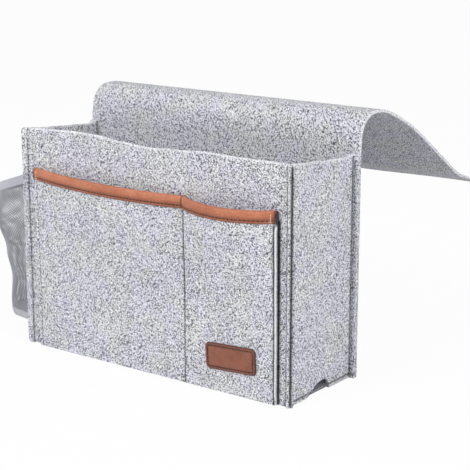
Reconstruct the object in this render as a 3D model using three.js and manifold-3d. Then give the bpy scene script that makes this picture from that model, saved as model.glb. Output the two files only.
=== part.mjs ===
// A felt bedside caddy: an open felt box with two leather-bound front pockets, a net bottle pocket on its
// left side, a cable notch low in its right side, and a felt flap that leaves the top of the back panel and
// goes under a mattress. Millimetres, +Z up. The origin is the middle of the base's underside, +X points to
// the right as seen from the front and +Y points to the flap.

import * as THREE from 'three';
import { mergeVertices } from 'three/addons/utils/BufferGeometryUtils.js';
import Module from 'manifold-3d';

const wasm = await Module();
wasm.setup();

// Driving dimensions of the box
const bodyWidth = 330;            // across the outer faces of the side panels
const bodyDepth = 110;            // across the outer faces of the front and back panels
const bodyHeight = 230;           // base to front rim
const felt = 3;                   // every felt sheet
const layerGap = 0.3;             // between two layers that are sewn together
const overrun = 5;                // how far every cutting solid runs past what it cuts

// Seams of the box
const cornerAllowance = 9;        // the diagonal seam allowance of the two front corners
const backAllowance = 5.5;        // how far the back panel and the side panels' rear lips stand out sideways
const hemHeight = 9;              // the base's hems, turned up inside the walls
const stitchInset = 3;            // from a cut edge to its row of stitches
const cornerStitchInset = 6;      // the same at the two front corners, where the row lies near the fold
const hemStitchHeight = 4;        // the row of stitches that holds the base's hems
const threadWidth = 0.8;
const threadThickness = 0.5;
const seamGrooveDepth = 1;        // how deep the back panel's seams draw into the felt
const seamGrooveWidth = 1.8;

// Rims
const frontRimWave = 3;           // how far the front rim waves up and down
const sideRimDip = 7.7;           // how far the side rims hang below the front rim

// Front pockets
const pocketLeftMargin = 14.5;    // from the body's left face to the pocket layer's cut edge
const pocketRightMargin = 13;     // from the body's right face to the pocket layer's cut edge
const dividerFromRight = 121;     // the stitched line between the two pockets
const pocketLeftHeight = 188;     // the felt's upper edge at the left end
const pocketDividerHeight = 184;
const pocketRightHeight = 184;
const leftMouthDepth = 9;         // how far the mouths stand open
const rightMouthDepth = 15;
const mouthSagHeight = 1.5;       // how far an open mouth hangs

// Leather binding and badge
const leather = 1.2;
const bindingDepth = 12;          // height of the binding's outer leaf
const innerLeafDepth = 10;
const bindingStitchInset = 2.5;   // from the binding's lower edge to its stitches
const endTackLength = 8.5;
const middleTackLength = 5.5;
const tackInset = 4.7;            // from the pocket's cut edge to the tack at that end
const badgeWidth = 59;
const badgeHeight = 26.5;
const badgeThickness = 1.6;
const badgeCorner = 5;
const badgeFromRight = 65;        // from the body's right face to the badge's middle
const badgeRise = 36;             // from the base to the badge's middle
const badgeTilt = 3;              // degrees, the right end is the higher one
const badgeStitchInset = 3;

// Net pocket on the left side
const netThickness = 1.2;
const netHemThickness = 2;
const netReach = 37;              // from the side panel to the middle of the bottle that it takes
const netRadius = 41;             // of the bottle with the net round it
const netMargin = 5;              // the net's flat edges, sewn to the side panel
const netCornerHeight = 182;      // upper edge of the top hem where it is sewn on
const netMouthHeight = 156;       // upper edge of the top hem at its outermost point
const netCornerBase = 17;         // lower edge of the bottom hem where it is sewn on
const netBase = 13;               // lower edge of the bottom hem at its outermost point
const topHemHeight = 10;
const bottomHemHeight = 8;
const netFloorLift = 2;           // the pocket's floor above the bottom hem's lower edge

// Cable notch in the right side
const notchFront = 24;            // ahead of the middle of the depth
const notchRear = 13;             // behind it
const notchHeight = 11.5;

// Flap: the line of its middle layer, from the top of the back panel
const hingeGap = 0.9;             // between the rounded ends that meet at a fold
const riserAngle = 82;            // degrees above level where the flap starts
const riserLength = 9;
const shoulderRadius = 24;        // the tight bend
const shoulderAngle = 77;          // degrees
const crownRadius = 75;
const crownAngle = 25;            // degrees
const tailRadius = 300;
const tailAngle = 13.5;           // degrees
const tailLength = 85.5;
const toeRadius = 84;
const toeAngle = 16.5;             // degrees, back up
const toeLength = 50;
const toeFoldShare = 0.5;         // where the toe's fold lies in its bend
const capAngles = [0, 30, 60, 90, 120, 150, 180]; // degrees, round the rounded end of a folding layer

// Places that follow from these sizes
const halfWidth = bodyWidth / 2;
const halfDepth = bodyDepth / 2;
const innerHalfWidth = halfWidth - felt;
const innerHalfDepth = halfDepth - felt;
const diagonal = Math.SQRT1_2;
const lipEdge = halfWidth + backAllowance;
const pocketLeft = -halfWidth + pocketLeftMargin;
const pocketRight = halfWidth - pocketRightMargin;
const divider = halfWidth - dividerFromRight;

// Hand-set curves: pairs of a share along the edge and a share of the size that the curve scales
const frontRimShares = [[0, 0], [0.08, 0.5], [0.2, 1], [0.3, 0.8], [0.38, -0.2], [0.5, -0.9], [0.6, -0.4],
  [0.7, 0.2], [0.85, 0], [1, 0.1]];
const sideRimShares = [[0, 0], [0.3, 0.4], [0.6, 0.75], [0.85, 1], [0.95, 0.8], [1, 0.3]];
const netGirthShares = [[0, 0.76], [0.09, 0.82], [0.3, 0.78], [0.51, 0.9], [0.75, 1.1], [0.93, 1.03], [1, 1]];
const notchPeakShare = 0.7;
const mouthRoundShare = 0.75;     // under 1 makes an open mouth fuller towards its ends
const pocketFlatShare = 0.34;     // the lower part of the pocket layer, which lies flat

const smooth = (t) => {
  const s = Math.min(Math.max(t, 0), 1);
  return s * s * (3 - 2 * s);
};

function curveThrough(shares, t) {
  const next = Math.max(1, shares.findIndex(([place]) => place >= Math.min(t, 1)));
  const [from, low] = shares[next - 1];
  const [to, high] = shares[next];
  return low + (high - low) * smooth((t - from) / (to - from));
}

// Materials
const finish = (color, roughness) => new THREE.MeshStandardMaterial({ color, roughness, metalness: 0 });
const feltGrey = finish(0xc4c5ce, 0.95);
const tanLeather = finish(0xc4714a, 0.5);
const brownLeather = finish(0x96563d, 0.5);
const greyThread = finish(0xa9aab4, 0.8);
const brownThread = finish(0x4a2418, 0.7);
const creamThread = finish(0xe8cfb0, 0.7);
const netGrey = finish(0x8d9098, 0.85);
const hemGrey = finish(0xb2b4bd, 0.9);

// Solids

function outward(geometry) {
  const position = geometry.attributes.position;
  const index = geometry.index.array;
  const corner = (n) => new THREE.Vector3().fromBufferAttribute(position, index[n]);
  let volume = 0;
  for (let n = 0; n < index.length; n += 3) {
    volume += corner(n).dot(corner(n + 1).cross(corner(n + 2)));
  }
  if (volume < 0) {
    for (let n = 0; n < index.length; n += 3) {
      [index[n + 1], index[n + 2]] = [index[n + 2], index[n + 1]];
    }
  }
  return geometry;
}

function welded(geometry) {
  geometry.deleteAttribute('normal');
  geometry.deleteAttribute('uv');
  return outward(mergeVertices(geometry, 1e-4));
}

function toSolid(geometry) {
  const merged = welded(geometry.clone());
  return new wasm.Manifold(new wasm.Mesh({
    numProp: 3,
    vertProperties: new Float32Array(merged.attributes.position.array),
    triVerts: new Uint32Array(merged.index.array),
  }));
}

function fromSolid(solid) {
  const mesh = solid.getMesh();
  const geometry = new THREE.BufferGeometry();
  geometry.setAttribute('position', new THREE.BufferAttribute(new Float32Array(mesh.vertProperties), 3));
  geometry.setIndex([...mesh.triVerts]);
  return geometry;
}

const cutAway = (geometry, ...cutters) => fromSolid(
  cutters.reduce((solid, cutter) => solid.subtract(toSolid(cutter)), toSolid(geometry)));

function block([x0, y0, z0], [x1, y1, z1]) {
  const box = new THREE.BoxGeometry(x1 - x0, y1 - y0, z1 - z0);
  return box.translate((x0 + x1) / 2, (y0 + y1) / 2, (z0 + z1) / 2);
}

// A closed slab between two faces, each a function of two shares that gives a point
function slab(columns, rows, outer, inner) {
  const points = [];
  const index = [];
  const at = (face, i, j) => (face * (columns + 1) + i) * (rows + 1) + j;
  const quad = (a, b, c, d) => index.push(a, b, c, a, c, d);
  for (const face of [outer, inner]) {
    for (let i = 0; i <= columns; i++) {
      for (let j = 0; j <= rows; j++) points.push(...face(i / columns, j / rows));
    }
  }
  for (let i = 0; i < columns; i++) {
    for (let j = 0; j < rows; j++) {
      quad(at(0, i, j), at(0, i + 1, j), at(0, i + 1, j + 1), at(0, i, j + 1));
      quad(at(1, i, j), at(1, i, j + 1), at(1, i + 1, j + 1), at(1, i + 1, j));
    }
    quad(at(0, i, 0), at(1, i, 0), at(1, i + 1, 0), at(0, i + 1, 0));
    quad(at(0, i, rows), at(0, i + 1, rows), at(1, i + 1, rows), at(1, i, rows));
  }
  for (let j = 0; j < rows; j++) {
    quad(at(0, 0, j), at(0, 0, j + 1), at(1, 0, j + 1), at(1, 0, j));
    quad(at(0, columns, j), at(1, columns, j), at(1, columns, j + 1), at(0, columns, j + 1));
  }
  const geometry = new THREE.BufferGeometry();
  geometry.setAttribute('position', new THREE.BufferAttribute(new Float32Array(points), 3));
  geometry.setIndex(index);
  return outward(geometry);
}

// The closed outline of a strip of one thickness whose right-hand side, or left-hand one, is the path
function stripOutline(path, thickness, toRight = true) {
  const side = toRight ? -1 : 1;
  const normal = (a, b) => {
    const step = b.clone().sub(a).normalize();
    return new THREE.Vector2(-step.y, step.x).multiplyScalar(side);
  };
  const offset = path.map((point, i) => {
    const before = i > 0 ? normal(path[i - 1], point) : normal(point, path[i + 1]);
    const after = i < path.length - 1 ? normal(point, path[i + 1]) : before;
    const mitre = before.clone().add(after).normalize();
    return point.clone().addScaledVector(mitre, thickness / mitre.dot(after));
  });
  return [...path, ...offset.reverse()];
}

function alongLine(from, to, pieces) {
  return Array.from({ length: pieces + 1 }, (_, i) => from.clone().lerp(to, i / pieces));
}

// A standing wall on a plan outline, with an upper edge whose height depends on the place
function standingWall(outline, rimAt) {
  const wall = new THREE.ExtrudeGeometry(new THREE.Shape(outline), { depth: 1, bevelEnabled: false });
  const position = wall.attributes.position;
  for (let i = 0; i < position.count; i++) {
    if (position.getZ(i) > 0.5) position.setZ(i, rimAt(position.getX(i), position.getY(i)));
  }
  return welded(wall);
}

// A sheet with one profile in Y and Z all across, from x0 to x1
function acrossX(profile, x0, x1) {
  const shape = new THREE.Shape(profile);
  const sheet = new THREE.ExtrudeGeometry(shape, { depth: x1 - x0, bevelEnabled: false });
  sheet.applyMatrix4(new THREE.Matrix4().set(
    0, 0, 1, x0,
    1, 0, 0, 0,
    0, 1, 0, 0,
    0, 0, 0, 1));
  return welded(sheet);
}

// A row of stitches as one flat thread on a surface: points on the surface, the way that the surface
// faces there and the way across the row
function stitchRow(points, facing, across) {
  const half = threadWidth / 2;
  const at = (height) => (u, v) => {
    const i = Math.round(u * (points.length - 1));
    const n = Array.isArray(facing) ? facing[i] : facing;
    const p = points[i].clone().addScaledVector(n, height);
    return p.addScaledVector(across, v > 0.5 ? half : -half).toArray();
  };
  return slab(points.length - 1, 1, at(layerGap + threadThickness), at(layerGap));
}

const right = new THREE.Vector3(1, 0, 0);
const rearward = new THREE.Vector3(0, 1, 0);
const up = new THREE.Vector3(0, 0, 1);
const left = right.clone().negate();
const forward = rearward.clone().negate();
const point = (x, y, z) => new THREE.Vector3(x, y, z);

const caddy = new THREE.Group();

function add(name, geometry, material) {
  const mesh = new THREE.Mesh(geometry, material);
  mesh.name = name;
  caddy.add(mesh);
  return mesh;
}

// Front panel: one sheet, its two edges turned out diagonally for the corner seams

const frontRimAt = (x) => bodyHeight + frontRimWave * curveThrough(frontRimShares, (x + halfWidth) / bodyWidth);
const seamShift = layerGap * diagonal;
const frontInnerCorner = new THREE.Vector2(innerHalfWidth - seamShift, -innerHalfDepth);
const sideInnerCorner = new THREE.Vector2(innerHalfWidth, -innerHalfDepth + seamShift);
const outAndForward = new THREE.Vector2(diagonal, -diagonal);
const mirrored = (p) => new THREE.Vector2(-p.x, p.y);

function frontPanel() {
  const rightTip = frontInnerCorner.clone().addScaledVector(outAndForward, cornerAllowance);
  const path = [mirrored(rightTip), ...alongLine(mirrored(frontInnerCorner), frontInnerCorner, 22), rightTip];
  return standingWall(stripOutline(path, felt), frontRimAt);
}
add('front_panel', frontPanel(), feltGrey);

// Side panels: diagonal seam allowance in front, square lip at the back

function sideRimAt(y) {
  const depthShare = (y + halfDepth) / bodyDepth;
  return bodyHeight - sideRimDip * curveThrough(sideRimShares, depthShare);
}

const lipFace = innerHalfDepth - layerGap;

function sidePanel(toRight) {
  const frontTip = sideInnerCorner.clone().addScaledVector(outAndForward, cornerAllowance);
  const rearCorner = new THREE.Vector2(innerHalfWidth, lipFace);
  const lip = new THREE.Vector2(lipEdge, lipFace);
  const path = [frontTip, ...alongLine(sideInnerCorner, rearCorner, 12), lip];
  const place = toRight ? path : path.map(mirrored);
  const wall = standingWall(stripOutline(place, felt, toRight), (x, y) => sideRimAt(y));
  return toRight ? cutAway(wall, notchCutter()) : wall;
}

function notchCutter() {
  const peak = -notchFront + (notchFront + notchRear) * notchPeakShare;
  const arch = new THREE.Shape();
  arch.moveTo(-notchFront, -overrun);
  arch.lineTo(-notchFront, 0);
  arch.bezierCurveTo(-notchFront * notchPeakShare, notchHeight / 2, peak - notchHeight, notchHeight, peak, notchHeight);
  arch.quadraticCurveTo(notchRear, notchHeight, notchRear, 0);
  arch.lineTo(notchRear, -overrun);
  const from = innerHalfWidth - layerGap - felt - overrun;
  return acrossX(arch.getPoints(8), from, halfWidth + overrun);
}
add('left_side_panel', sidePanel(false), feltGrey);
add('right_side_panel', sidePanel(true), feltGrey);

// Base panel: lies inside the four walls, its hems turned up against them

const baseHalfWidth = innerHalfWidth - layerGap;
const baseHalfDepth = innerHalfDepth - layerGap;
const hemFaceX = baseHalfWidth - felt;
const hemFaceY = baseHalfDepth - felt;
const rowEndX = hemFaceX - threadWidth;

function basePanel() {
  const tray = block([-baseHalfWidth, -baseHalfDepth, 0], [baseHalfWidth, baseHalfDepth, hemHeight]);
  const hollow = block([-hemFaceX, -hemFaceY, felt], [hemFaceX, hemFaceY, hemHeight + overrun]);
  const mitreX = [hemFaceX - layerGap, baseHalfWidth + overrun];
  const mitreY = [hemFaceY - layerGap, baseHalfDepth + overrun];
  const span = (sign, [near, far]) => (sign > 0 ? [near, far] : [-far, -near]);
  const clearedCorners = [[-1, -1], [1, -1], [1, 1], [-1, 1]].map(([sx, sy]) => {
    const [x0, x1] = span(sx, mitreX);
    const [y0, y1] = span(sy, mitreY);
    return block([x0, y0, felt], [x1, y1, hemHeight + overrun]);
  });
  const hemNotch = block([hemFaceX - overrun, -notchFront, felt],
    [baseHalfWidth + overrun, notchRear, hemHeight + overrun]);
  return cutAway(tray, hollow, ...clearedCorners, hemNotch);
}
add('base_panel', basePanel(), feltGrey);

// Flap line: a list of places and headings along the flap's middle layer, a step every few degrees

const flapStart = new THREE.Vector2(halfDepth - felt / 2, bodyHeight + felt / 3);
const degrees = (d) => (d * Math.PI) / 180;
const bend = (radius, turn, steps) => ({ length: radius * degrees(Math.abs(turn)), turn, steps });
const straight = (length) => ({ length, turn: 0, steps: 1 });
const flapRuns = [
  straight(riserLength),
  bend(shoulderRadius, -shoulderAngle, 10),
  bend(crownRadius, -crownAngle, 5),
  bend(tailRadius, -tailAngle, 4),
  straight(tailLength),
  bend(toeRadius, toeAngle, 4),
  straight(toeLength),
];
const crownFoldAt = flapRuns[0].length + flapRuns[1].length;
const toeFoldAt = flapRuns.slice(0, 5).reduce((sum, run) => sum + run.length, 0)
  + flapRuns[5].length * toeFoldShare;
const flapEnd = flapRuns.reduce((sum, run) => sum + run.length, 0);

// The place and the heading of the flap's middle layer at a length along it
function flapAt(distance) {
  const place = flapStart.clone();
  let heading = degrees(riserAngle);
  let left = distance;
  for (const run of flapRuns) {
    const part = Math.min(Math.max(left, 0), run.length);
    const turned = degrees(run.turn) * (part / run.length);
    const chord = Math.abs(turned) > 1e-9 ? (2 * Math.sin(turned / 2)) / turned : 1;
    const along = heading + turned / 2;
    place.addScaledVector(new THREE.Vector2(Math.cos(along), Math.sin(along)), part * chord);
    heading += turned;
    left -= part;
  }
  return { place, heading };
}

const flapMarks = (() => {
  const marks = [];
  let start = 0;
  for (const run of flapRuns) {
    for (let i = 0; i < run.steps; i++) marks.push(start + (run.length * i) / run.steps);
    start += run.length;
  }
  return marks;
})();

// The flap between two lengths along it, with rounded ends where it folds
function flapProfile(from, to, roundEnd) {
  const inset = (hingeGap + felt) / 2;
  const first = from + inset;
  const last = roundEnd ? to - inset : to;
  const stops = [first, ...flapMarks.filter((m) => m > first && m < last), last];
  const beside = (distance, offset, tilt = 0) => {
    const { place, heading } = flapAt(distance);
    const facing = heading + Math.PI / 2 + tilt;
    return place.addScaledVector(new THREE.Vector2(Math.cos(facing), Math.sin(facing)), offset);
  };
  const cap = capAngles.slice(1, -1).map(degrees);
  return [
    ...stops.map((s) => beside(s, felt / 2)),
    ...(roundEnd ? cap.map((a) => beside(last, felt / 2, -a)) : []),
    ...stops.reverse().map((s) => beside(s, -felt / 2)),
    ...cap.map((a) => beside(first, -felt / 2, -a)),
  ];
}

// Back panel: flat from the base to the flap's first fold, wider than the box by the seam allowance

function backPanel() {
  const top = flapStart.y - (hingeGap + felt) / 2;
  const middle = flapStart.x;
  const cap = capAngles.map(degrees);
  const profile = [
    new THREE.Vector2(middle - felt / 2, 0),
    new THREE.Vector2(middle + felt / 2, 0),
    ...cap.map((a) => new THREE.Vector2(middle + (felt / 2) * Math.cos(a), top + (felt / 2) * Math.sin(a))),
  ];
  return cutAway(acrossX(profile, -lipEdge, lipEdge), ...backSeamGrooves());
}

// The seams draw into the back panel's rear face, so that it still lies flat against the bed
const backSeamFace = halfDepth - seamGrooveDepth;
const seamFoot = hemStitchHeight;
const seamTop = bodyHeight - sideRimDip - stitchInset;
const lipStitch = lipEdge - stitchInset;

function backSeamGrooves() {
  const half = seamGrooveWidth / 2;
  const groove = (x0, z0, x1, z1) => block(
    [x0 - half, backSeamFace, z0 - half], [x1 + half, halfDepth + overrun, z1 + half]);
  return [
    groove(-rowEndX, hemStitchHeight, rowEndX, hemStitchHeight),
    groove(-lipStitch, seamFoot, -lipStitch, seamTop),
    groove(lipStitch, seamFoot, lipStitch, seamTop),
  ];
}
add('back_panel', backPanel(), feltGrey);
add('flap_riser', acrossX(flapProfile(0, crownFoldAt, true), -lipEdge, lipEdge), feltGrey);
add('flap_tail', acrossX(flapProfile(crownFoldAt, toeFoldAt, true), -lipEdge, lipEdge), feltGrey);
add('flap_toe', acrossX(flapProfile(toeFoldAt, flapEnd, false), -lipEdge, lipEdge), feltGrey);

// Front pocket layer: one sheet sewn down at both ends, along the divider and at the base, so that its upper
// edge stands open in two mouths

const bindingRoom = leather + layerGap;
const pocketHeightAt = (x) => (x < divider
  ? pocketLeftHeight + (pocketDividerHeight - pocketLeftHeight) * ((x - pocketLeft) / (divider - pocketLeft))
  : pocketDividerHeight + (pocketRightHeight - pocketDividerHeight) * ((x - divider) / (pocketRight - divider)));

function opennessAt(x) {
  const seams = [pocketLeft + stitchInset, divider, pocketRight - stitchInset];
  const [from, to] = x < divider ? seams : seams.slice(1);
  const t = Math.min(Math.max((x - from) / (to - from), 0), 1);
  return Math.sin(Math.PI * t) ** mouthRoundShare;
}

const mouthAt = (x) => pocketHeightAt(x) - mouthSagHeight * opennessAt(x);

// How far the pocket layer stands off the front panel
function standOff(x, z) {
  const flat = pocketFlatShare * pocketDividerHeight;
  const rise = smooth((z - flat) / (mouthAt(x) - flat));
  const bulge = (x < divider ? leftMouthDepth : rightMouthDepth) * opennessAt(x);
  return layerGap + (bindingRoom + bulge) * rise;
}

const pocketBack = (x, z) => -halfDepth - standOff(x, z);
const pocketFace = (x, z) => pocketBack(x, z) - felt;

// Columns of the pocket layer: one at each cut edge, and close-set ones from seam to seam
const spread = (from, to, pieces) => Array.from({ length: pieces }, (_, i) => from + ((to - from) * i) / pieces);
const pocketSeams = {
  left: pocketLeft + stitchInset,
  divider,
  right: pocketRight - stitchInset,
};
const pocketPlaces = [
  pocketLeft,
  ...spread(pocketSeams.left, pocketSeams.divider, 20),
  ...spread(pocketSeams.divider, pocketSeams.right, 14),
  pocketSeams.right,
  pocketRight,
];
const pocketColumns = pocketPlaces.length - 1;
const pocketX = (u) => pocketPlaces[Math.round(u * pocketColumns)];
const pocketRowCount = 12;

function pocketLayer() {
  const at = (y) => (u, v) => {
    const x = pocketX(u);
    const z = v * mouthAt(x);
    return [x, y(x, z), z];
  };
  return slab(pocketColumns, pocketRowCount, at(pocketFace), at(pocketBack));
}
add('front_pocket_panel', pocketLayer(), feltGrey);

// Leather binding: one strip folded over the pocket layer's upper edge

const bindingInside = felt / 2 + layerGap;
const bindingOutside = bindingInside + leather;
const bindingTopAt = (x) => mouthAt(x) + bindingOutside;
const bindingFootAt = (x) => bindingTopAt(x) - bindingDepth;

function binding() {
  const foldStepCount = 6;
  const steps = foldStepCount + 2;
  const at = (offset) => (u, v) => {
    const x = pocketX(u);
    const mouth = mouthAt(x);
    const middle = (z) => pocketBack(x, z) - felt / 2;
    const step = Math.round(v * steps);
    if (step === 0) return [x, middle(bindingFootAt(x)) - offset, bindingFootAt(x)];
    if (step === steps) {
      const foot = bindingTopAt(x) - innerLeafDepth;
      return [x, middle(foot) + offset, foot];
    }
    const angle = (Math.PI * (step - 1)) / foldStepCount;
    return [x, middle(mouth) - offset * Math.cos(angle), mouth + offset * Math.sin(angle)];
  };
  return slab(pocketColumns, steps, at(bindingOutside), at(bindingInside));
}
add('pocket_binding', binding(), tanLeather);

const leatherFace = (x, z) => pocketBack(x, z) - felt / 2 - bindingOutside;

function bindingStitches() {
  const inset = tackInset + threadWidth;
  const ends = [pocketLeft + inset, pocketRight - inset];
  const places = [ends[0], ...pocketPlaces.filter((x) => x > ends[0] && x < ends[1]), ends[1]];
  const points = places.map((x) => {
    const z = bindingFootAt(x) + bindingStitchInset;
    return point(x, leatherFace(x, z), z);
  });
  return stitchRow(points, forward, up);
}
add('binding_stitches', bindingStitches(), brownThread);

function barTack(x, length) {
  const top = bindingTopAt(x) - bindingOutside;
  const heights = [0, 0.5, 1].map((share) => top - length * (1 - share));
  const face = Math.min(...heights.map((z) => leatherFace(x, z)));
  return stitchRow(heights.map((z) => point(x, face, z)), forward, right);
}
add('left_bar_tack', barTack(pocketLeft + tackInset, endTackLength), creamThread);
add('middle_bar_tack', barTack(divider, middleTackLength), creamThread);
add('right_bar_tack', barTack(pocketRight - tackInset, endTackLength), creamThread);

// Pocket seams: the rows on the pocket layer, and their under threads inside the box

function pocketSeam(x) {
  const top = bindingFootAt(x) - threadWidth;
  const rows = spread(0, mouthAt(x), pocketRowCount).filter((z) => z > threadWidth && z < top);
  const heights = [threadWidth, ...rows, top];
  return stitchRow(heights.map((z) => point(x, pocketFace(x, z), z)), forward, right);
}

function pocketUnderThread(x) {
  const low = hemHeight + threadWidth;
  const high = pocketDividerHeight;
  return stitchRow([point(x, -innerHalfDepth, low), point(x, -innerHalfDepth, high)], rearward, right);
}

for (const [side, x] of Object.entries(pocketSeams)) {
  add(`pocket_${side}_seam`, pocketSeam(x), greyThread);
  add(`pocket_${side}_seam_under`, pocketUnderThread(x), greyThread);
}

// Badge: a small leather plate on the right pocket, and its ring of stitches

function roundedOutline(width, height, corner, Kind) {
  const outline = new Kind();
  const [w, h] = [width / 2, height / 2];
  outline.moveTo(w, -h + corner);
  outline.lineTo(w, h - corner);
  outline.absarc(w - corner, h - corner, corner, 0, Math.PI / 2);
  outline.lineTo(-w + corner, h);
  outline.absarc(-w + corner, h - corner, corner, Math.PI / 2, Math.PI);
  outline.lineTo(-w, -h + corner);
  outline.absarc(-w + corner, -h + corner, corner, Math.PI, 1.5 * Math.PI);
  outline.lineTo(w - corner, -h);
  outline.absarc(w - corner, -h + corner, corner, 1.5 * Math.PI, 2 * Math.PI);
  return outline;
}

function onPocketFace(shape, thickness, gap) {
  const plate = new THREE.ExtrudeGeometry(shape, { depth: thickness, bevelEnabled: false, curveSegments: 6 });
  plate.rotateZ(degrees(badgeTilt));
  plate.rotateX(Math.PI / 2);
  const x = halfWidth - badgeFromRight;
  return welded(plate.translate(x, pocketFace(x, 0) - gap, badgeRise));
}

function badgeStitches() {
  const outer = 2 * badgeStitchInset - threadWidth;
  const inner = 2 * badgeStitchInset + threadWidth;
  const ring = roundedOutline(badgeWidth - outer, badgeHeight - outer, badgeCorner - outer / 2, THREE.Shape);
  ring.holes.push(roundedOutline(badgeWidth - inner, badgeHeight - inner, badgeCorner - inner / 2, THREE.Path));
  return onPocketFace(ring, threadThickness, layerGap + badgeThickness + layerGap);
}
add('badge', onPocketFace(roundedOutline(badgeWidth, badgeHeight, badgeCorner, THREE.Shape), badgeThickness, layerGap),
  brownLeather);
add('badge_stitches', badgeStitches(), brownThread);

// Corner seams: the needle thread in front and the under thread on the other layer

function uprightSeam(x, y, facing, across, top = seamTop) {
  return stitchRow([point(x, y, seamFoot), point(x, y, top)], facing, across);
}

for (const [side, sign] of [['left', -1], ['right', 1]]) {
  const reach = cornerAllowance - cornerStitchInset;
  const layerFace = (corner, outOfLayer) => corner.clone()
    .addScaledVector(outAndForward, reach)
    .addScaledVector(outOfLayer, felt);
  const facingFront = new THREE.Vector2(-diagonal, -diagonal);
  const facingSide = facingFront.clone().negate();
  const onFront = layerFace(frontInnerCorner, facingFront);
  const onSide = layerFace(sideInnerCorner, facingSide);
  const turned = (v) => point(sign * v.x, v.y, 0);
  add(`front_${side}_corner_seam`,
    uprightSeam(sign * onFront.x, onFront.y, turned(facingFront), turned(outAndForward)), greyThread);
  add(`front_${side}_corner_seam_under`,
    uprightSeam(sign * onSide.x, onSide.y, turned(facingSide), turned(outAndForward)), greyThread);
  add(`back_${side}_corner_seam`, uprightSeam(sign * lipStitch, lipFace - felt, forward, right), greyThread);
  add(`back_${side}_corner_seam_under`, uprightSeam(sign * lipStitch, backSeamFace, rearward, right), greyThread);
}

// Base seams: one row through each wall and the hem behind it, broken at the notch

function baseRow(from, to, facing) {
  return stitchRow([from, to], facing, up);
}

const rowEndY = baseHalfDepth - felt - threadWidth;
const rowsBeside = {
  left_base_seam: [-1, -rowEndY, rowEndY],
  right_base_seam_front: [1, -rowEndY, -notchFront],
  right_base_seam_rear: [1, notchRear + threadWidth, rowEndY],
};
for (const [name, [sign, from, to]] of Object.entries(rowsBeside)) {
  const row = (x) => [point(sign * x, from, hemStitchHeight), point(sign * x, to, hemStitchHeight)];
  const outside = sign < 0 ? left : right;
  const inside = sign < 0 ? right : left;
  const insideRow = row(hemFaceX).map((p) => p.setZ(hemStitchHeight + threadWidth));
  add(name, baseRow(...row(halfWidth), outside), greyThread);
  add(`${name}_under`, baseRow(...insideRow, inside), greyThread);
}
const frontRowHeight = hemStitchHeight + threadWidth;
add('front_base_seam', baseRow(
  point(-rowEndX, -hemFaceY, frontRowHeight), point(rowEndX, -hemFaceY, frontRowHeight), rearward), greyThread);
add('back_base_seam', baseRow(
  point(-rowEndX, backSeamFace, hemStitchHeight), point(rowEndX, backSeamFace, hemStitchHeight), rearward),
greyThread);
add('back_base_seam_under', baseRow(
  point(-rowEndX, hemFaceY, frontRowHeight), point(rowEndX, hemFaceY, frontRowHeight), forward), greyThread);

// Net pocket: a net wall that runs out from the side panel, round a bottle and back, with a solid hem above and
// below and a floor

const netMiddle = -(halfWidth + netReach);
const netAnchor = lipFace - felt - layerGap - threadThickness - layerGap;
const netFlat = -(halfWidth + layerGap);

const outwardShare = (x) => (-x - halfWidth) / (netReach + netRadius);
const netTopAt = (x) => netCornerHeight - (netCornerHeight - netMouthHeight) * outwardShare(x);
const netFootAt = (x) => netCornerBase - (netCornerBase - netBase) * outwardShare(x);

function netGirthAt(z) {
  return netRadius * curveThrough(netGirthShares, Math.max((z - netBase) / (netMouthHeight - netBase), 0));
}

// The net's line in plan at one height: flat on the panel, straight to the bottle, round it and back. clear is
// how far the line lies outside the net's inner face.
const netStraightCount = 4;
const netRoundCount = 16;

function netLine(z, clear) {
  const start = new THREE.Vector2(netFlat - clear, -netAnchor);
  const leave = new THREE.Vector2(netFlat - clear, -netAnchor + netMargin - clear);
  const radius = netGirthAt(z) + clear;
  const centre = new THREE.Vector2(netMiddle, 0);
  const toLeave = leave.clone().sub(centre);
  const tangent = toLeave.angle() - Math.acos(radius / toLeave.length());
  const sweep = 2 * (tangent - Math.PI);
  const touch = (share) => new THREE.Vector2(
    centre.x + radius * Math.cos(tangent - sweep * share),
    centre.y + radius * Math.sin(tangent - sweep * share));
  const half = [start, ...alongLine(leave, touch(0), netStraightCount)];
  const round = Array.from({ length: netRoundCount - 1 }, (_, i) => touch((i + 1) / netRoundCount));
  return [...half, ...round, ...half.map((p) => new THREE.Vector2(p.x, -p.y)).reverse()];
}

const netColumns = netLine(netBase, 0).length - 1;

// A band of the net pocket between two edges given over the place
function netBand(rows, footAt, topAt, inside, outside) {
  const at = (clear) => (u, v) => {
    const i = Math.round(u * netColumns);
    const probe = netLine(netMouthHeight, 0)[i].x;
    const z = footAt(probe) + (topAt(probe) - footAt(probe)) * v;
    const p = netLine(z, clear)[i];
    return [p.x, p.y, z];
  };
  return slab(netColumns, rows, at(outside), at(inside));
}

const netWallFoot = (x) => netFootAt(x) + bottomHemHeight + layerGap;
const netWallTop = (x) => netTopAt(x) - topHemHeight - layerGap;
add('net_pocket', netBand(12, netWallFoot, netWallTop, 0, netThickness), netGrey);
add('net_top_hem', netBand(2, (x) => netTopAt(x) - topHemHeight, netTopAt, 0, netHemThickness), hemGrey);
add('net_bottom_hem', netBand(2, netFootAt, (x) => netFootAt(x) + bottomHemHeight, 0, netHemThickness), hemGrey);

function netFloor() {
  const z = netCornerBase + netFloorLift;
  const outline = netLine(z, -layerGap).slice(1, -1).map((p) => new THREE.Vector2(Math.min(p.x, netFlat), p.y));
  const floor = new THREE.ExtrudeGeometry(new THREE.Shape(outline), { depth: netThickness, bevelEnabled: false });
  return welded(floor.translate(0, 0, z));
}
add('net_pocket_floor', netFloor(), hemGrey);

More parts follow.
